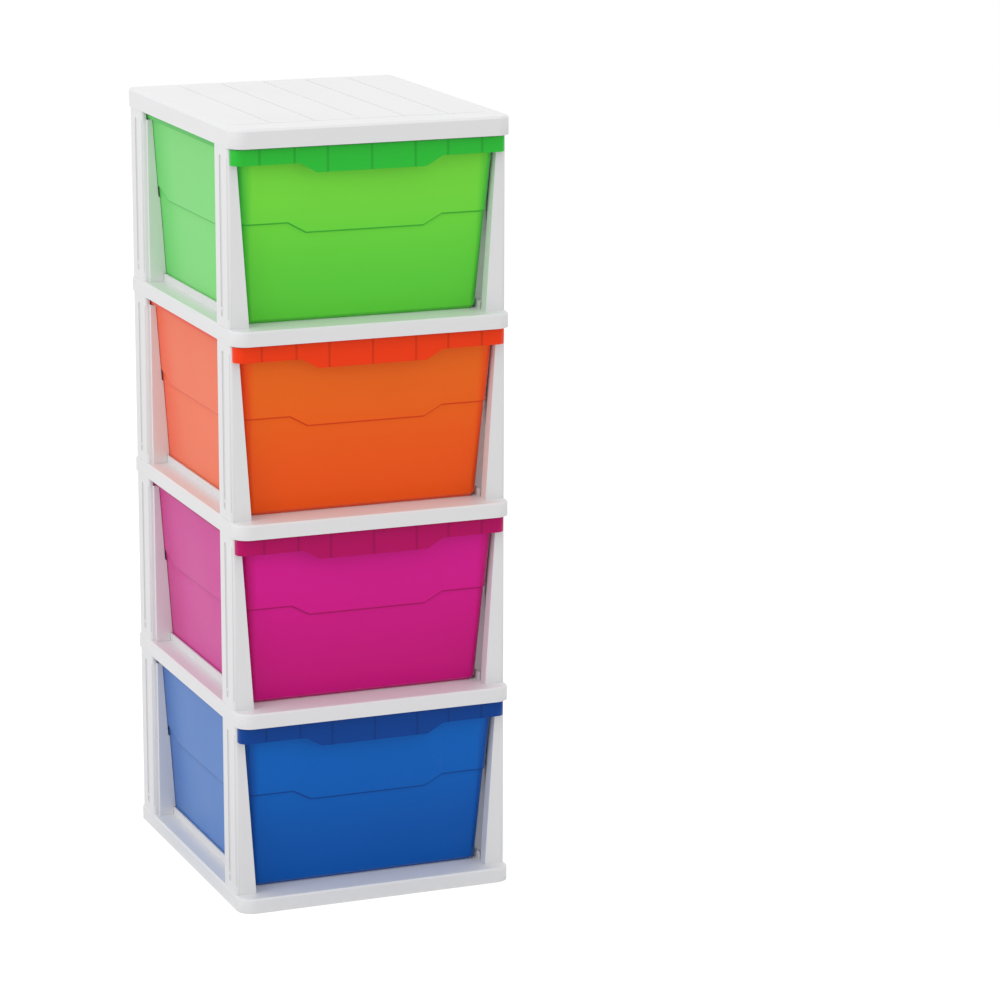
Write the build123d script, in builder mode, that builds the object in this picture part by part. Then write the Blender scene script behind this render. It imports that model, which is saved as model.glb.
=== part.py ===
from build123d import *
from math import atan2, cos, sin, tan
import os

# Plastic drawer tower: four moulded drawers in a frame of shelves, corner posts and back panels.
# Millimetres, +Z up. The origin is the middle of the base's underside, X runs along the width
# and the drawers open towards -Y. "Inset" is a distance inwards from the rim's outer side, and
# "level" is the number of the rim that carries a tier, 0 at the base.

# Frame, overall
width = 385.0
depth = 456.0
tier_pitch = 255.0
tier_count = 4

# Shelves, base and top panel
rim_height = 20.0
top_height = 25.0
skirt_wall = 2.5
plate_thickness = 3.0
front_corner_radius = 21.0
rear_corner_radius = 12.0
rim_edge_chamfer = 2.2
top_edge_chamfer = 2.8
rib_thickness = 2.0
long_rib_pitch = 95.0
long_rib_count = 3
cross_rib_pitch = 114.0
cross_rib_count = 3
rib_clear_height = 8.0
groove_width = 2.4
groove_depth = 0.8
groove_pitch = 61.0
groove_count = 5
cross_groove_setback = 50.0

# Corner posts
post_inset = 1.0
post_depth = 53.0
post_wall = 2.5
post_corner_radius = 5.0
post_return = 8.0
front_return_depth = 17.0
post_pad_thickness = 2.5
front_setback = 24.0
rear_setback = 10.0
flange_gap = 1.35
notch_clearance = 1.7
side_groove_width = 9.0
side_groove_depth = 1.0
side_groove_margin = 12.0
side_groove_chamfer = 2.6
spigot_inset = 3.0
spigot_thickness = 3.0
spigot_length = 24.0
spigot_height = 12.0
spigot_start = 8.0
tongue_inset = 4.5
tongue_thickness = 3.0
tongue_length = 10.0
tongue_depth = 6.0
tongue_start = 38.0
socket_wall = 2.0
socket_lead = 3.0
fit_clearance = 0.3

# Back panels
panel_thickness = 2.5
panel_top_lap = 5.0
panel_keeper_width = 3.0

# Guide ribs beside the drawers
guide_height = 11.0
guide_thickness = 2.5
guide_clearance = 1.3
guide_end_gap = 4.0

# Drawers
drawer_top_gap = 2.0
drawer_wall = 2.0
drawer_side_inset = 14.7
drawer_front_setback = 25.0
drawer_rear_setback = 49.0
side_draft = 0.066
front_draft = 0.0987
rear_draft = 0.0172
step_width = 2.0
step_end_drop = 103.0
step_rise = 14.0
front_step_inner = 81.0
front_step_outer = 106.0
side_step_start = 22.0
side_step_end = 62.0
step_curve_radius = 9.0
drawer_corner_radius = 12.0
drawer_floor_chamfer = 5.0
drawer_rim_overhang = 5.0
drawer_rim_height = 8.0

# Handle lip
lip_setback = 9.0
lip_end_inset = 5.0
lip_wall = 2.0
lip_corner_radius = 12.0
lip_end_drop = 22.5
lip_middle_drop = 35.5
lip_step_inner = 75.0
lip_step_outer = 97.5
lip_curve_radius = 10.0
lip_rib_thickness = 1.8
lip_rib_lift = 3.0
lip_rib_shares = (0.0, 0.16, 0.28, 0.406)

# Worked out from the sizes above
half_width = width / 2
half_depth = depth / 2
post_height = tier_pitch - rim_height
drawer_top = tier_pitch - drawer_top_gap
front_plane = -half_depth + front_setback
rear_plane = half_depth - rear_setback
lip_front = -half_depth + lip_setback
lip_back = front_plane - fit_clearance
lip_half_width = half_width - lip_end_inset
rim_side_inset = drawer_side_inset - drawer_rim_overhang
top_level = tier_count
post_corners = ((-1, front_plane, 1), (1, front_plane, 1), (-1, rear_plane, -1), (1, rear_plane, -1))


def side_inset_at(height):
    """Inset of a drawer's side, above its step, at a height within the tier."""
    return drawer_side_inset + side_draft * (drawer_top - height)


def draw_block(x_range, y_range, mode=Mode.ADD):
    """Draws a rectangle between two x values and two y values into the open sketch."""
    x_low, x_high = sorted(x_range)
    y_low, y_high = sorted(y_range)
    with Locations(((x_low + x_high) / 2, (y_low + y_high) / 2)):
        Rectangle(x_high - x_low, y_high - y_low, mode=mode)


def draw_at_corners(inset_range, start, length):
    """Draws one rectangle beside each post, given by its insets and its start along the post."""
    near, far = inset_range
    for side, plane, inward in post_corners:
        draw_block(
            (side * (half_width - near), side * (half_width - far)),
            (plane + inward * start, plane + inward * (start + length)),
        )


def save(builder, label):
    """Labels a finished piece and writes it under its name."""
    builder.part.label = label
    export_step(builder.part, f"parts/{label}.step")


# Shelves, base and top panel ---------------------------------------------------------------


def add_rim_shell(shell, level, height, edge_chamfer):
    """A plate with a skirt and crossing ribs beneath it."""
    underside = level * tier_pitch
    plate_underside = underside + height - plate_thickness
    with BuildSketch(Plane.XY.offset(underside)) as outline:
        Rectangle(width, depth)
        fillet(vertices().group_by(Axis.Y)[0], front_corner_radius)
        fillet(vertices().group_by(Axis.Y)[-1], rear_corner_radius)
    extrude(outline.sketch, amount=height)
    chamfer(shell.faces().sort_by(Axis.Z)[-1].edges(), edge_chamfer)
    with BuildSketch(Plane.XY.offset(underside)) as hollow:
        Rectangle(width - 2 * skirt_wall, depth - 2 * skirt_wall)
        chamfer(vertices().group_by(Axis.Y)[0], front_corner_radius - skirt_wall)
        chamfer(vertices().group_by(Axis.Y)[-1], rear_corner_radius - skirt_wall)
    extrude(hollow.sketch, amount=height - plate_thickness, mode=Mode.SUBTRACT)
    with BuildSketch(Plane.XY.offset(underside + rib_clear_height)) as ribs:
        with GridLocations(long_rib_pitch, 1, long_rib_count, 1):
            Rectangle(rib_thickness, depth - 2 * skirt_wall)
        with GridLocations(1, cross_rib_pitch, 1, cross_rib_count):
            Rectangle(width - 2 * skirt_wall, rib_thickness)
    extrude(ribs.sketch, amount=plate_underside - underside - rib_clear_height)


def add_sockets(level, height):
    """Walled pockets under the plate that take the spigots of the four posts below."""
    lead = level * tier_pitch + socket_lead
    pocket_depth = height - plate_thickness - socket_lead
    far = spigot_inset + spigot_thickness + fit_clearance
    start = spigot_start - fit_clearance
    length = spigot_length + 2 * fit_clearance
    with BuildSketch(Plane.XY.offset(lead)) as walls:
        draw_at_corners(
            (skirt_wall, far + socket_wall), start - socket_wall, length + 2 * socket_wall
        )
    extrude(walls.sketch, amount=pocket_depth)
    with BuildSketch(Plane.XY.offset(lead)) as pockets:
        draw_at_corners((skirt_wall, far), start, length)
    extrude(pockets.sketch, amount=pocket_depth, mode=Mode.SUBTRACT)


def add_tongue_slots(level):
    """Slots through the plate for the tongues of the four posts above."""
    tongue_insets = (tongue_inset - fit_clearance, tongue_inset + tongue_thickness + fit_clearance)
    with BuildSketch(Plane.XY.offset(level * tier_pitch + rim_height)) as slots:
        draw_at_corners(tongue_insets, tongue_start - fit_clearance, tongue_length + 2 * fit_clearance)
    extrude(slots.sketch, amount=-plate_thickness, mode=Mode.SUBTRACT)


def add_guides(level):
    """Two low ribs that keep a drawer in line."""
    inner = side_inset_at(rim_height + guide_height) + step_width - guide_clearance
    guide_front = front_plane + front_return_depth + guide_end_gap
    guide_rear = rear_plane - post_wall - panel_thickness - guide_end_gap
    with BuildSketch(Plane.XY.offset(level * tier_pitch + rim_height)) as guides:
        for side in (-1, 1):
            draw_block(
                (side * (half_width - inner), side * (half_width - inner + guide_thickness)),
                (guide_front, guide_rear),
            )
    extrude(guides.sketch, amount=guide_height)


def make_shelf(label, level):
    with BuildPart() as shelf:
        add_rim_shell(shelf, level, rim_height, rim_edge_chamfer)
        if level > 0:
            add_sockets(level, rim_height)
        add_tongue_slots(level)
        add_guides(level)
    save(shelf, label)


def make_top_panel():
    top_surface = top_level * tier_pitch + top_height
    cross_groove_y = -half_depth + cross_groove_setback
    long_groove_length = depth - cross_groove_setback - top_edge_chamfer - rear_corner_radius
    with BuildPart() as panel:
        add_rim_shell(panel, top_level, top_height, top_edge_chamfer)
        add_sockets(top_level, top_height)
        with BuildSketch(Plane.XY.offset(top_surface)):
            with Locations((0, cross_groove_y)):
                Rectangle(width - 2 * front_corner_radius, groove_width)
            with Locations((0, cross_groove_y + long_groove_length / 2)):
                with GridLocations(groove_pitch, 1, groove_count, 1):
                    Rectangle(groove_width, long_groove_length)
        extrude(amount=-groove_depth, mode=Mode.SUBTRACT)
    save(panel, "top_panel")


# Corner posts ------------------------------------------------------------------------------


def make_post_master(is_front):
    """One post at a corner of its own: X is the inset, Y runs inwards from the flange's face."""
    flange_foot = side_inset_at(rim_height) - flange_gap
    notch_floor = drawer_top - drawer_rim_height - notch_clearance
    notch_edge = rim_side_inset - notch_clearance
    flange_top = side_inset_at(notch_floor) - flange_gap
    channel_start = post_inset + post_wall
    pad_start = post_wall + panel_thickness + fit_clearance
    groove_length = post_height - 2 * side_groove_margin
    mid_height = rim_height + post_height / 2
    with BuildPart() as post:
        with BuildSketch(Plane.XY.offset(rim_height)):
            draw_block((post_inset, flange_foot), (0, post_depth))
            fillet(vertices().group_by(Axis.X)[0], post_corner_radius)
            draw_block((channel_start, flange_foot), (post_wall, post_depth - post_wall), Mode.SUBTRACT)
            draw_block((post_return, flange_foot), (post_wall, post_depth), Mode.SUBTRACT)
        extrude(amount=post_height)

        # A front flange turns back along the slanted edge; a rear one has a keeper for the panel.
        if is_front:
            with BuildSketch(Plane.XZ):
                Polygon(
                    (flange_top - post_wall, notch_floor),
                    (flange_top, notch_floor),
                    (flange_foot, rim_height),
                    (flange_foot - post_wall, rim_height),
                    align=None,
                )
            extrude(amount=-front_return_depth)
        else:
            with BuildSketch(Plane.XY.offset(rim_height)):
                draw_block(
                    (channel_start, channel_start + panel_keeper_width), (pad_start, pad_start + post_wall)
                )
            extrude(amount=post_height)

        # The flange's inner edge follows the drawer's side, with a notch for the drawer's rim.
        with BuildSketch(Plane.XZ):
            Polygon(
                (notch_edge, tier_pitch),
                (notch_edge, notch_floor),
                (flange_top, notch_floor),
                (flange_foot, rim_height),
                (flange_foot, tier_pitch),
                align=None,
            )
        extrude(amount=-post_wall, mode=Mode.SUBTRACT)

        # Pads across the ends, a spigot up into the rim above and a tongue down into the plate.
        with BuildSketch(Plane.XY.offset(rim_height), Plane.XY.offset(tier_pitch - post_pad_thickness)):
            draw_block((channel_start, post_return), (pad_start, post_depth - post_wall))
        extrude(amount=post_pad_thickness)
        with BuildSketch(Plane.XY.offset(tier_pitch)):
            draw_block(
                (spigot_inset, spigot_inset + spigot_thickness),
                (spigot_start, spigot_start + spigot_length),
            )
        extrude(amount=spigot_height)
        with BuildSketch(Plane.XY.offset(rim_height)):
            draw_block(
                (tongue_inset, tongue_inset + tongue_thickness),
                (tongue_start, tongue_start + tongue_length),
            )
        extrude(amount=-tongue_depth)

        # Long shallow groove in the side face.
        with BuildSketch(Plane.YZ.offset(post_inset)):
            with Locations((post_depth / 2, mid_height)):
                Rectangle(side_groove_width, groove_length)
            chamfer(vertices(), side_groove_chamfer)
        extrude(amount=side_groove_depth, mode=Mode.SUBTRACT)
    return post


def make_posts():
    names = {(-1, 1): "front_left", (1, 1): "front_right", (-1, -1): "rear_left", (1, -1): "rear_right"}
    masters = {1: make_post_master(True), -1: make_post_master(False)}
    for side, plane, inward in post_corners:
        with BuildPart() as turned:
            add(masters[inward].part)
            if side > 0:
                mirror(about=Plane.YZ, mode=Mode.REPLACE)
            if inward < 0:
                mirror(about=Plane.XZ, mode=Mode.REPLACE)
        for level in range(tier_count):
            with BuildPart() as post:
                with Locations((side * half_width, plane, level * tier_pitch)):
                    add(turned.part)
            save(post, f"post_{names[side, inward]}_{level + 1}")


# Back panels -------------------------------------------------------------------------------


def make_back_panel(level):
    edge_inset = post_inset + post_wall + fit_clearance
    rear_face = rear_plane - post_wall
    panel_height = post_height + panel_top_lap
    with BuildPart() as panel:
        with BuildSketch(Plane.XY.offset(level * tier_pitch + rim_height)):
            draw_block(
                (edge_inset - half_width, half_width - edge_inset), (rear_face - panel_thickness, rear_face)
            )
        extrude(amount=panel_height)
    save(panel, f"back_panel_{level + 1}")


# Drawers -----------------------------------------------------------------------------------


def front_setback_at(height):
    """Distance of a drawer's front wall, above its step, behind the rim's front."""
    return drawer_front_setback + front_draft * (drawer_top - height)


def rear_setback_at(height):
    """Distance of a drawer's rear wall, above its step, before the rim's rear."""
    return drawer_rear_setback + rear_draft * (drawer_top - height)


def draw_stepped_profile(half_length, outer, inner, high, low):
    """Draws an area below a line that is high at both ends and slopes down to a low middle."""
    slope = atan2(high - low, outer - inner)
    reach = step_curve_radius * tan(slope / 2)
    reach_along = reach * cos(slope)
    reach_down = reach * sin(slope)
    with BuildLine() as outline:
        Polyline(
            (-outer - reach, high), (-half_length, high), (-half_length, 0),
            (half_length, 0), (half_length, high), (outer + reach, high),
        )
        for side in (-1, 1):
            upper_end = (side * (outer - reach_along), high - reach_down)
            lower_end = (side * (inner + reach_along), low + reach_down)
            TangentArc((side * (outer + reach), high), upper_end, tangent=(-side, 0))
            Line(upper_end, lower_end)
            TangentArc((side * (inner - reach), low), lower_end, tangent=(side, 0))
        Line((reach - inner, low), (inner - reach, low))
    make_face(outline.edges())


def make_below_step(lift):
    """The space below the stepped line round a drawer, which dips in the front and the sides."""
    high = tier_pitch - step_end_drop + lift
    low = high - step_rise
    rear_top = half_depth - drawer_rear_setback
    with BuildPart() as below:
        with BuildSketch(Plane.XZ):
            draw_stepped_profile(half_width, front_step_outer, front_step_inner, high, low)
        extrude(amount=half_depth)
        with BuildSketch(Plane.XZ):
            draw_block((-half_width, half_width), (0, high))
        extrude(amount=-half_depth)
        with BuildSketch(Plane.YZ.offset(-half_width)):
            draw_stepped_profile(
                half_depth, rear_top - side_step_start, rear_top - side_step_end, high, low
            )
        extrude(amount=width, mode=Mode.INTERSECT)
    return below


def make_tapered_tub(inset, floor):
    """A solid with the taper of a drawer, from a floor height up to the drawer's top."""
    top_half = half_width - side_inset_at(drawer_top) - inset
    floor_half = half_width - side_inset_at(floor) - inset
    with BuildPart() as tub:
        with BuildSketch(Plane.XZ):
            Polygon(
                (-top_half, drawer_top), (-floor_half, floor), (floor_half, floor), (top_half, drawer_top),
                align=None,
            )
        extrude(amount=half_depth, both=True)
        with BuildSketch(Plane.YZ.offset(-half_width)):
            Polygon(
                (front_setback_at(drawer_top) + inset - half_depth, drawer_top),
                (front_setback_at(floor) + inset - half_depth, floor),
                (half_depth - rear_setback_at(floor) - inset, floor),
                (half_depth - rear_setback_at(drawer_top) - inset, drawer_top),
                align=None,
            )
        extrude(amount=width, mode=Mode.INTERSECT)
        fillet(tub.edges().group_by(Axis.Z)[1], drawer_corner_radius - inset)
    return tub


def make_stepped_tub(inset, floor):
    """A tapered tub that is narrower below the stepped line, with a bevel round its floor."""
    with BuildPart() as lower:
        add(make_tapered_tub(inset + step_width, floor).part)
        chamfer(lower.faces().sort_by(Axis.Z)[0].edges(), drawer_floor_chamfer - inset / 2)
    with BuildPart() as tub:
        add(make_tapered_tub(inset, floor).part)
        add(make_below_step(inset).part, mode=Mode.SUBTRACT)
        add(lower.part)
    return tub


def make_drawer_rim():
    """Flat rim with a thin skirt along the sides and the rear."""
    rim_half_width = half_width - rim_side_inset
    rim_rear = half_depth - drawer_rear_setback + drawer_rim_overhang
    rim_radius = drawer_corner_radius + drawer_rim_overhang
    hollow_half_width = rim_half_width - drawer_wall
    with BuildPart() as rim:
        with BuildSketch(Plane.XY.offset(drawer_top)):
            draw_block((-rim_half_width, rim_half_width), (lip_back, rim_rear))
            fillet(vertices().group_by(Axis.Y)[-1], rim_radius)
        extrude(amount=-drawer_rim_height)
        with BuildSketch(Plane.XY.offset(drawer_top - drawer_wall)):
            draw_block((-hollow_half_width, hollow_half_width), (lip_back, rim_rear - drawer_wall))
            fillet(vertices().group_by(Axis.Y)[-1], rim_radius - drawer_wall)
        extrude(amount=drawer_wall - drawer_rim_height, mode=Mode.SUBTRACT)
    return rim


def make_lip():
    """The handle lip: a hooded front with wings, open below and behind, with an S-curved edge."""
    skirt_height = lip_middle_drop - drawer_top_gap
    high = tier_pitch - lip_end_drop
    low = tier_pitch - lip_middle_drop
    inner_half_width = lip_half_width - lip_wall
    with BuildPart() as lip:
        with BuildSketch(Plane.XY.offset(drawer_top)):
            draw_block((-lip_half_width, lip_half_width), (lip_front, lip_back))
            fillet(vertices().group_by(Axis.Y)[0], lip_corner_radius)
        extrude(amount=-skirt_height)
        with BuildSketch(Plane.XY.offset(drawer_top - lip_wall)):
            draw_block((-inner_half_width, inner_half_width), (lip_front + lip_wall, lip_back))
            fillet(vertices().group_by(Axis.Y)[0], lip_corner_radius - lip_wall)
        extrude(amount=lip_wall - skirt_height, mode=Mode.SUBTRACT)
        with BuildSketch(Plane.XZ):
            with BuildLine():
                FilletPolyline(
                    (lip_half_width, high),
                    (lip_step_outer, high),
                    (lip_step_inner, low),
                    (-lip_step_inner, low),
                    (-lip_step_outer, high),
                    (-lip_half_width, high),
                    radius=lip_curve_radius,
                )
                Polyline(
                    (-lip_half_width, high),
                    (-lip_half_width, drawer_top),
                    (lip_half_width, drawer_top),
                    (lip_half_width, high),
                )
            make_face()
        extrude(amount=half_depth, mode=Mode.INTERSECT)
    return lip


def make_lip_ribs():
    """Upright ribs that tie the lip to the drawer's front wall."""
    rib_front = lip_front + lip_wall / 2
    rib_rear = -half_depth + drawer_front_setback + front_draft * lip_middle_drop + drawer_wall
    centres = sorted({side * share * 2 * lip_half_width for share in lip_rib_shares for side in (-1, 1)})
    with BuildPart() as ribs:
        for centre in centres:
            lip_drop = lip_middle_drop if abs(centre) < lip_step_inner else lip_end_drop
            foot = tier_pitch - lip_drop + lip_rib_lift
            with BuildSketch(Plane.XY.offset(foot)):
                half_rib = lip_rib_thickness / 2
                draw_block((centre - half_rib, centre + half_rib), (rib_front, rib_rear))
            extrude(amount=drawer_top - lip_wall / 2 - foot)
    return ribs


def make_drawer_master():
    """One drawer in the lowest tier, moulded in one piece with its rim, handle lip and ribs."""
    outside = make_stepped_tub(0, rim_height)
    inside = make_stepped_tub(drawer_wall, rim_height + drawer_wall)
    rim = make_drawer_rim()
    lip = make_lip()
    ribs = make_lip_ribs()
    with BuildPart() as drawer:
        add(outside.part)
        add(rim.part)
        add(lip.part)
        add(ribs.part)
        add(inside.part, mode=Mode.SUBTRACT)
    return drawer


def make_drawers():
    master = make_drawer_master()
    for level in range(tier_count):
        with BuildPart() as drawer:
            with Locations((0, 0, level * tier_pitch)):
                add(master.part)
        save(drawer, f"drawer_{level + 1}")


os.makedirs("parts", exist_ok=True)
make_shelf("base_frame", 0)
for shelf_level in range(1, tier_count):
    make_shelf(f"shelf_{shelf_level}", shelf_level)
make_top_panel()
make_posts()
for tier_level in range(tier_count):
    make_back_panel(tier_level)
make_drawers()
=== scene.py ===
import math

import bpy
from mathutils import Matrix, Vector


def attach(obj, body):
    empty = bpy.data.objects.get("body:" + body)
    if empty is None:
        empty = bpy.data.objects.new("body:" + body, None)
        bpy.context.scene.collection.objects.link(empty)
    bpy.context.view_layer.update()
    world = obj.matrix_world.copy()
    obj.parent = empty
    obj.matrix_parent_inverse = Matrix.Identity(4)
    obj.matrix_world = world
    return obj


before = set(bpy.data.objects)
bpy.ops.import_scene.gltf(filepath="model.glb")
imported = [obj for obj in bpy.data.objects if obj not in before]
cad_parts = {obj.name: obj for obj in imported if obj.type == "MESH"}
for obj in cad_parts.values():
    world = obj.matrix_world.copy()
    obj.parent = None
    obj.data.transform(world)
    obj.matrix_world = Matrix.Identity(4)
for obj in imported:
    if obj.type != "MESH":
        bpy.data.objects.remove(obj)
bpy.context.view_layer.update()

# The camera, fitted to the corners of the tower's rims.
PICTURE_SIDE = 1000
SENSOR_WIDTH = 36.0
FOCAL_PIXELS = 3886.26
CAMERA_PLACE = Vector((-1.7086, -4.8733, 1.7368))
CAMERA_YAW = 0.3852
CAMERA_PITCH = 0.2355
CAMERA_ROLL = 0.0026
CLIP_END = 50.0

# Lights: a soft dome and two large panels, given as place, aim, size and power.
DOME_STRENGTH = 0.77
PANEL_LIGHTS = {
    "key": ((-3.0, -0.9, 2.4), (0, 0, 0.5), (2.5, 2.5), 24),
    "top": ((0.2, 0.0, 3.2), (0, 0, 1.0), (3.0, 3.0), 14),
}
WHITE = (1.0, 1.0, 1.0, 1.0)

# The floor's half side, its shine for the camera and its greys for lighting and for the shadow.
FLOOR_REACH = 6.0
FLOOR_SHINE = 0.74
FLOOR_GREY = (0.9, 0.9, 0.9, 1.0)
FLOOR_SHADOW_GREY = (0.42, 0.42, 0.42, 1.0)

# The white plastic, its faint mottle, and the shade in the posts' grooves.
WHITE_PLASTIC = (0.83, 0.83, 0.84, 1.0)
MOTTLE_SHADE, GROOVE_SHADE = 0.965, 0.84

# Each drawer's colour where its wall is thin, where light crosses more of it (also used as painted shade), and a
# paler one painted as light on its side walls.
DRAWER_COLOURS = {
    1: ((0.001, 0.150, 0.62, 1.0), (0.001, 0.058, 0.32, 1.0), (0.050, 0.200, 0.60, 1.0)),
    2: ((0.80, 0.008, 0.33, 1.0), (0.52, 0.001, 0.13, 1.0), (0.69, 0.004, 0.30, 1.0)),
    3: ((1.0, 0.165, 0.010, 1.0), (1.0, 0.050, 0.004, 1.0), (1.0, 0.150, 0.030, 1.0)),
    4: ((0.22, 0.86, 0.060, 1.0), (0.03, 0.58, 0.045, 1.0), (0.19, 0.76, 0.155, 1.0)),
}
DRAWER_SLOTS = {1: "blue_plastic", 2: "magenta_plastic", 3: "orange_plastic", 4: "green_plastic"}
CLOUD_SHADE, LINE_SHADE = 0.93, 0.72
SHEEN_TINT = (0.75, 0.88, 1.0, 1.0)
LEAST_SCATTER = 0.15

# Textures: a noise's scale and detail, a bump's strength and distance, and the ends of the roughness.
WHITE_MOTTLE, DRAWER_MOTTLE = (9.0, 3.0), (7.0, 2.0)
WHITE_GRAIN, DRAWER_GRAIN = (900.0, 2.0), (500.0, 2.0)
WHITE_BUMP, DRAWER_BUMP = (0.12, 0.0004), (0.10, 0.0003)
WHITE_ROUGHNESS, DRAWER_ROUGHNESS = (0.34, 0.46), (0.26, 0.36)

# Where the drawers' colour deepens: the metres over which that fades, and how strong it is. At the corners, the
# foot and the low front this is painted shade, and along the step partly so.
CORNER_FADE, CORNER_SHADE = (0.003, 0.022), 0.75
LOW_FRONT_FADE, LOW_FRONT_SHADE = (0.06, 0.22), 0.45
SIDE_END_FADE, SIDE_END_DEPTH = (0.0, 0.11), 0.45
FRONT_WALL, SIDE_WALL = (0.009, 0.013), (0.004, 0.006)
FOOT_FADE, FOOT_SHADE, RIM_DEPTH = 0.006, 0.6, 0.8
STEP_LINE_FADE, STEP_LINE_DEPTH = (0.0005, 0.0016), 0.85
RIB_FADE, RIB_DEPTH = (0.0010, 0.0022), 0.8
SHARP_FADE = 0.0004

# Sizes of the tower that the materials and the small details follow, in metres.
HALF_WIDTH = 0.1925
HALF_DEPTH = 0.228
TIER_PITCH = 0.255
TIER_COUNT = 4
RIM_HEIGHT = 0.020
DRAWER_TOP = 0.253
SIDE_INSET, SIDE_DRAFT = 0.0147, 0.066
FRONT_SETBACK, FRONT_DRAFT = 0.025, 0.0987
REAR_SETBACK, REAR_DRAFT = 0.049, 0.0172
STEP_HIGH, STEP_LOW, STEP_DEPTH = 0.152, 0.138, 0.002
FRONT_STEP = (0.081, 0.106)
SIDE_STEP = (0.117, 0.157)
LIP_BACK = -0.2043
LIP_RIBS = (0.0, 0.060, 0.105, 0.15225)
RIM_UNDERSIDE = 0.2452
FRONT_PLANE, REAR_PLANE = -0.204, 0.218
POST_DEPTH = 0.053
POST_WALL = 0.0025
POST_RETURN = 0.0079
NOTCH_FLOOR = 0.2433
GUIDE_SIDE, GUIDE_TOP = 0.0272, 0.0314
GROOVE_INSET, GROOVE_START, GROOVE_END, GROOVE_TOLERANCE = 0.0020, 0.033, 0.242, 0.0006

# The posts' inner walls stay this far off the drawers and the plates, and the rear ones start further forward.
WEB_GAP, SEAT_GAP, REAR_WEB_LEAD = 0.0006, 0.0001, 0.005

# Snap buttons: their size, height above the tier's foot, and profile as shares of radius and height.
BUTTON_RADIUS, BUTTON_HEIGHT, BUTTON_LIFT = 0.0030, 0.0012, 0.043
BUTTON_PROFILE = ((1.0, 0.0), (1.0, 0.6), (0.75, 1.0))
BUTTON_SIDES = 20

# How far moulded edges are rounded.
RIM_BEVEL, POST_BEVEL, DRAWER_BEVEL = 0.0013, 0.0007, 0.0005
BEVEL_ANGLE = math.radians(32)
SAME_CORNER = 0.000002


class NodeTree:
    """Short ways to add nodes to the tree of a material or a world."""

    def __init__(self, owner):
        owner.use_nodes = True
        self.tree = owner.node_tree
        self.tree.nodes.clear()

    def feed(self, socket, value):
        """Links another node's output to the socket, or sets a plain value on it."""
        if isinstance(value, bpy.types.NodeSocket):
            self.tree.links.new(value, socket)
        else:
            socket.default_value = value

    def add(self, kind, inputs=None, **settings):
        node = self.tree.nodes.new(kind)
        for name, value in settings.items():
            setattr(node, name, value)
        for name, value in (inputs or {}).items():
            self.feed(node.inputs[name], value)
        return node

    def calculate(self, operation, first, second=0.0, third=0.0):
        return self.add("ShaderNodeMath", {0: first, 1: second, 2: third}, operation=operation).outputs[0]

    def greatest(self, first, *others):
        for other in others:
            first = self.calculate("MAXIMUM", first, other)
        return first

    def ramp(self, value, start, end, low=0.0, high=1.0, shape="SMOOTHSTEP"):
        """Goes from low at start to high at end."""
        inputs = {"Value": value, "From Min": start, "From Max": end, "To Min": low, "To Max": high}
        return self.add("ShaderNodeMapRange", inputs, interpolation_type=shape).outputs["Result"]

    def blend(self, amount, first, second):
        return self.add("ShaderNodeMix", {0: amount, 6: first, 7: second}, data_type="RGBA").outputs[2]

    def object_place(self):
        return self.add("ShaderNodeTexCoord").outputs["Object"]

    def noise(self, place, scale, detail):
        return self.add("ShaderNodeTexNoise", {"Vector": place, "Scale": scale, "Detail": detail}).outputs["Fac"]

    def bump(self, place, grain, strength, distance):
        inputs = {"Height": self.noise(place, *grain), "Strength": strength, "Distance": distance}
        return self.add("ShaderNodeBump", inputs).outputs["Normal"]

    def finish(self, kind, result):
        self.add(kind, {"Surface": result.outputs[0]})


def shaded(colour, share):
    return tuple(share * c for c in colour[:3]) + (1.0,)


def white_plastic(name="white_plastic", glow=0.0):
    """Satin moulded plastic with a faint mottle and a fine leathery grain; with glow, light comes through it."""
    material = bpy.data.materials.new(name)
    tree = NodeTree(material)
    place = tree.object_place()
    mottle = tree.noise(place, *WHITE_MOTTLE)
    tone = tree.blend(mottle, WHITE_PLASTIC, shaded(WHITE_PLASTIC, MOTTLE_SHADE))

    # The floors of the posts' side grooves gather shade.
    x, _, z = tree.add("ShaderNodeSeparateXYZ", {0: place}).outputs
    across = tree.calculate("ABSOLUTE", x)
    in_groove = tree.calculate("COMPARE", across, HALF_WIDTH - GROOVE_INSET, GROOVE_TOLERANCE)
    middle = (GROOVE_START + GROOVE_END) / 2
    height = tree.calculate("MODULO", z, TIER_PITCH)
    in_length = tree.calculate("COMPARE", height, middle, GROOVE_END - middle)
    groove = tree.calculate("MULTIPLY", in_groove, in_length)
    shader = tree.add("ShaderNodeBsdfPrincipled", {
        "Base Color": tree.blend(groove, tone, shaded(WHITE_PLASTIC, GROOVE_SHADE)),
        "Roughness": tree.ramp(mottle, 0.0, 1.0, *WHITE_ROUGHNESS, "LINEAR"),
        "IOR": 1.46,
        "Subsurface Weight": glow,
        "Subsurface Scale": 0.010,
        "Subsurface Radius": (1.0, 1.0, 1.0),
        "Normal": tree.bump(place, WHITE_GRAIN, *WHITE_BUMP),
    })
    tree.finish("ShaderNodeOutputMaterial", shader)
    return material


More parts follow.
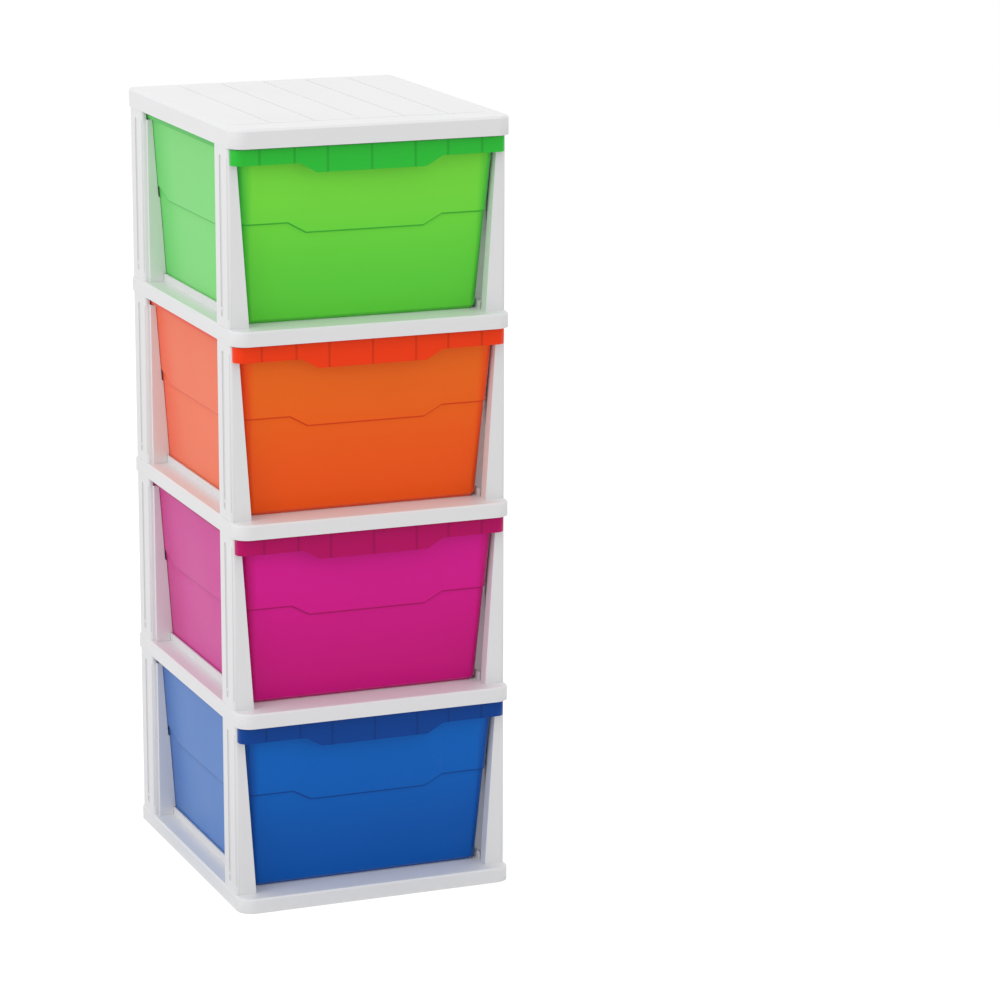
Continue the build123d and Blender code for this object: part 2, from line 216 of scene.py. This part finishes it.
def drawer_plastic(name, colours, level):
    """Translucent moulded plastic, deeper at the lip, the rim and the ends of its sides; painted shade darkens
    its corners, foot, low front and step, and painted light makes its sides paler.
    """
    thin, deep, painted_side_light = colours
    material = bpy.data.materials.new(name)
    tree = NodeTree(material)
    calculate, ramp = tree.calculate, tree.ramp
    place = tree.object_place()
    x, y, z = tree.add("ShaderNodeSeparateXYZ", {0: place}).outputs
    height = calculate("SUBTRACT", z, level * TIER_PITCH)
    across = calculate("ABSOLUTE", x)
    below_top = calculate("SUBTRACT", DRAWER_TOP, height)

    def from_wall(distance, draft):
        """Distance in from a wall that leans inwards towards its foot."""
        return calculate("SUBTRACT", distance, calculate("MULTIPLY", below_top, draft))

    from_side = from_wall(calculate("SUBTRACT", HALF_WIDTH - SIDE_INSET, across), SIDE_DRAFT)
    from_front = from_wall(calculate("ADD", y, HALF_DEPTH - FRONT_SETBACK), FRONT_DRAFT)
    from_rear = from_wall(calculate("SUBTRACT", HALF_DEPTH - REAR_SETBACK, y), REAR_DRAFT)
    from_end = calculate("MINIMUM", from_front, from_rear)
    on_side = ramp(from_side, *SIDE_WALL, 1.0, 0.0)
    on_front = ramp(from_front, *FRONT_WALL, 1.0, 0.0)

    lip = ramp(y, LIP_BACK, LIP_BACK + SHARP_FADE, 1.0, 0.0)
    # Painted shade darkens the corners, the foot and the low front; the lip and the rim are deeper for their
    # thicker plastic, and the side walls deepen towards their ends.
    deep_and_shade = tree.greatest(
        ramp(calculate("MAXIMUM", from_side, from_end), *CORNER_FADE, CORNER_SHADE, 0.0),
        lip,
        ramp(height, RIM_UNDERSIDE - SHARP_FADE, RIM_UNDERSIDE, 0.0, RIM_DEPTH),
        ramp(height, RIM_HEIGHT, RIM_HEIGHT + FOOT_FADE, FOOT_SHADE, 0.0),
        calculate("MULTIPLY", ramp(height, *LOW_FRONT_FADE, LOW_FRONT_SHADE, 0.0), on_front),
        calculate("MULTIPLY", on_side, ramp(from_end, *SIDE_END_FADE, SIDE_END_DEPTH, 0.0)),
    )

    # The step and the ribs behind the lip show as thin dark lines; the step's line is partly painted shade under
    # its ledge and partly its thicker wall.
    front_line = ramp(across, *FRONT_STEP, STEP_LOW, STEP_HIGH, "LINEAR")
    side_line = ramp(calculate("ABSOLUTE", y), *SIDE_STEP, STEP_LOW, STEP_HIGH, "LINEAR")
    off_step = calculate("ABSOLUTE", calculate("SUBTRACT", height, calculate("MINIMUM", front_line, side_line)))
    ribs = [
        ramp(calculate("ABSOLUTE", calculate("SUBTRACT", across, centre)), *RIB_FADE, RIB_DEPTH, 0.0)
        for centre in LIP_RIBS
    ]
    lines = calculate(
        "MAXIMUM",
        ramp(off_step, *STEP_LINE_FADE, STEP_LINE_DEPTH, 0.0),
        calculate("MULTIPLY", tree.greatest(*ribs), lip),
    )

    mottle = tree.noise(place, *DRAWER_MOTTLE)
    cloudy = tree.blend(mottle, thin, shaded(thin, CLOUD_SHADE))
    # The side walls are painted paler, as light that comes through them.
    tinted = tree.blend(deep_and_shade, tree.blend(on_side, cloudy, painted_side_light), deep)
    shader = tree.add("ShaderNodeBsdfPrincipled", {
        "Base Color": tree.blend(lines, tinted, shaded(deep, LINE_SHADE)),
        "Roughness": ramp(mottle, 0.0, 1.0, *DRAWER_ROUGHNESS),
        "IOR": 1.4,
        "Specular IOR Level": 0.2,
        "Transmission Weight": 0.03,
        "Subsurface Weight": 0.05,
        "Subsurface Scale": 0.003,
        "Subsurface Radius": tuple(LEAST_SCATTER + c for c in thin[:3]),
        "Sheen Weight": 0.35,
        "Sheen Roughness": 0.35,
        "Sheen Tint": SHEEN_TINT,
        "Normal": tree.bump(place, DRAWER_GRAIN, *DRAWER_BUMP),
    })
    tree.finish("ShaderNodeOutputMaterial", shader)
    return material


def dress(piece, material, bevel_width):
    """Gives a CAD node its material, and rounds its edges a little once its faces share their corners."""
    piece.data.materials.clear()
    piece.data.materials.append(material)
    weld = piece.modifiers.new("shared corners", "WELD")
    weld.merge_threshold = SAME_CORNER
    bevel = piece.modifiers.new("soft edges", "BEVEL")
    bevel.width = bevel_width
    bevel.segments = 2
    bevel.limit_method = "ANGLE"
    bevel.angle_limit = BEVEL_ANGLE
    bevel.harden_normals = True
    bevel.use_clamp_overlap = True


def add_camera():
    view = Vector((
        math.sin(CAMERA_YAW) * math.cos(CAMERA_PITCH),
        math.cos(CAMERA_YAW) * math.cos(CAMERA_PITCH),
        -math.sin(CAMERA_PITCH),
    ))
    right = Vector((math.cos(CAMERA_YAW), -math.sin(CAMERA_YAW), 0.0))
    up = right.cross(view)
    rolled_right = math.cos(CAMERA_ROLL) * right + math.sin(CAMERA_ROLL) * up
    rolled_up = math.cos(CAMERA_ROLL) * up - math.sin(CAMERA_ROLL) * right
    data = bpy.data.cameras.new("camera")
    data.sensor_width = SENSOR_WIDTH
    data.lens = FOCAL_PIXELS * SENSOR_WIDTH / PICTURE_SIDE
    data.clip_end = CLIP_END
    camera = bpy.data.objects.new("camera", data)
    bpy.context.scene.collection.objects.link(camera)
    turn = Matrix((rolled_right, rolled_up, -view)).transposed().to_4x4()
    camera.matrix_world = Matrix.Translation(CAMERA_PLACE) @ turn
    bpy.context.scene.camera = camera


def add_world():
    """A soft dome that is plain white to camera, glossy and transmission rays."""
    world = bpy.data.worlds.new("studio")
    bpy.context.scene.world = world
    tree = NodeTree(world)
    path = tree.add("ShaderNodeLightPath").outputs
    dome = tree.add("ShaderNodeBackground", {"Color": WHITE, "Strength": DOME_STRENGTH})
    white = tree.add("ShaderNodeBackground", {"Color": WHITE, "Strength": 1.0})
    direct = tree.greatest(path["Is Camera Ray"], path["Is Glossy Ray"], path["Is Transmission Ray"])
    mix = tree.add("ShaderNodeMixShader", {0: direct, 1: dome.outputs[0], 2: white.outputs[0]})
    tree.finish("ShaderNodeOutputWorld", mix)


def add_panel_light(name, place, aim, size, power):
    data = bpy.data.lights.new(name, "AREA")
    data.shape = "RECTANGLE"
    data.size, data.size_y = size
    data.energy = power
    lamp = bpy.data.objects.new(name, data)
    bpy.context.scene.collection.objects.link(lamp)
    lamp.location = place
    lamp.rotation_euler = (Vector(aim) - Vector(place)).to_track_quat("-Z", "Y").to_euler()


def add_mesh(name, corners, faces, material):
    mesh = bpy.data.meshes.new(name)
    mesh.from_pydata(corners, [], faces)
    piece = bpy.data.objects.new(name, mesh)
    bpy.context.scene.collection.objects.link(piece)
    piece.data.materials.append(material)
    return piece


def add_floor():
    """A pale floor that keeps the tower's shadow and is near white to the camera."""
    material = bpy.data.materials.new("floor")
    tree = NodeTree(material)
    path = tree.add("ShaderNodeLightPath").outputs
    lit = tree.add("ShaderNodeBsdfDiffuse", {"Color": FLOOR_GREY})
    faint = tree.add("ShaderNodeBsdfDiffuse", {"Color": FLOOR_SHADOW_GREY})
    shine = tree.add("ShaderNodeEmission", {"Color": WHITE, "Strength": FLOOR_SHINE})
    seen = tree.add("ShaderNodeAddShader", {0: faint.outputs[0], 1: shine.outputs[0]})
    mix = tree.add("ShaderNodeMixShader", {0: path["Is Camera Ray"], 1: lit.outputs[0], 2: seen.outputs[0]})
    tree.finish("ShaderNodeOutputMaterial", mix)
    corners = [(x * FLOOR_REACH, y * FLOOR_REACH, 0) for x, y in ((-1, -1), (1, -1), (1, 1), (-1, 1))]
    floor = add_mesh("floor", corners, [(0, 1, 2, 3)], material)


def post_places():
    """Yields each post's side as a sign and as a word, and its tier counted from 0."""
    for side, side_name in ((-1, "left"), (1, "right")):
        for tier in range(TIER_COUNT):
            yield side, side_name, tier


def add_post_piece(name, corners, faces, material):
    piece = add_mesh(name, corners, faces, material)
    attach(piece, "root")


def add_post_webs(materials):
    """Walls at the inner ends of the posts, which reach in to the drawers' leaning sides."""

    def edge_at(height, step=0.0):
        return SIDE_INSET + SIDE_DRAFT * (DRAWER_TOP - height) + step - WEB_GAP

    foot = RIM_HEIGHT + SEAT_GAP
    outline = [
        (POST_RETURN, foot),
        (GUIDE_SIDE, foot),
        (GUIDE_SIDE, GUIDE_TOP),
        (edge_at(GUIDE_TOP, STEP_DEPTH), GUIDE_TOP),
        (edge_at(STEP_LOW - STEP_DEPTH, STEP_DEPTH), STEP_LOW - STEP_DEPTH),
        (edge_at(STEP_LOW), STEP_LOW),
        (edge_at(NOTCH_FLOOR), NOTCH_FLOOR),
        (POST_RETURN, NOTCH_FLOOR),
    ]
    count = len(outline)
    faces = [tuple(range(count)), tuple(reversed(range(count, 2 * count)))]
    faces += [(i, i + count, (i + 1) % count + count, (i + 1) % count) for i in range(count)]
    mirrored_faces = [tuple(reversed(face)) for face in faces]
    front_end, rear_end = FRONT_PLANE + POST_DEPTH, REAR_PLANE - POST_DEPTH
    spans = {
        "front": (front_end - POST_WALL, front_end),
        "rear": (rear_end - REAR_WEB_LEAD, rear_end + POST_WALL),
    }
    for end, span in spans.items():
        for side, side_name, tier in post_places():
            corners = [
                (side * (HALF_WIDTH - inset), y, tier * TIER_PITCH + height)
                for y in span
                for inset, height in outline
            ]
            name = f"post_web_{end}_{side_name}_{tier + 1}"
            add_post_piece(name, corners, mirrored_faces if side < 0 else faces, materials[end])


def add_snap_buttons(material):
    """Small round buttons near the foot of each post's groove."""
    steps = BUTTON_SIDES
    faces = [tuple(reversed(range(steps))), tuple(range(2 * steps, 3 * steps))]
    for ring in (0, steps):
        faces += [
            (ring + i, ring + (i + 1) % steps, ring + steps + (i + 1) % steps, ring + steps + i)
            for i in range(steps)
        ]
    turns = [2 * math.pi * i / steps for i in range(steps)]
    centres = {"front": FRONT_PLANE + POST_DEPTH / 2, "rear": REAR_PLANE - POST_DEPTH / 2}
    for end, centre in centres.items():
        for side, side_name, tier in post_places():
            corners = [
                (
                    side * (HALF_WIDTH - GROOVE_INSET + BUTTON_HEIGHT * height),
                    centre + side * BUTTON_RADIUS * radius * math.cos(turn),
                    tier * TIER_PITCH + BUTTON_LIFT + BUTTON_RADIUS * radius * math.sin(turn),
                )
                for radius, height in BUTTON_PROFILE
                for turn in turns
            ]
            add_post_piece(f"snap_button_{end}_{side_name}_{tier + 1}", corners, faces, material)


def dress_tower():
    white = white_plastic()
    for name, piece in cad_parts.items():
        if not name.startswith("drawer_"):
            dress(piece, white, POST_BEVEL if name.startswith(("post", "back")) else RIM_BEVEL)
    for number, colours in DRAWER_COLOURS.items():
        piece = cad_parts[f"drawer_{number}"]
        dress(piece, drawer_plastic(DRAWER_SLOTS[number], colours, number - 1), DRAWER_BEVEL)
    add_post_webs({"front": white_plastic("white_plastic_thin", 1.0), "rear": white})
    add_snap_buttons(white)


bpy.context.scene.view_settings.view_transform = "Standard"
add_camera()
add_world()
add_floor()
for light_name, settings in PANEL_LIGHTS.items():
    add_panel_light(light_name, *settings)
dress_tower()
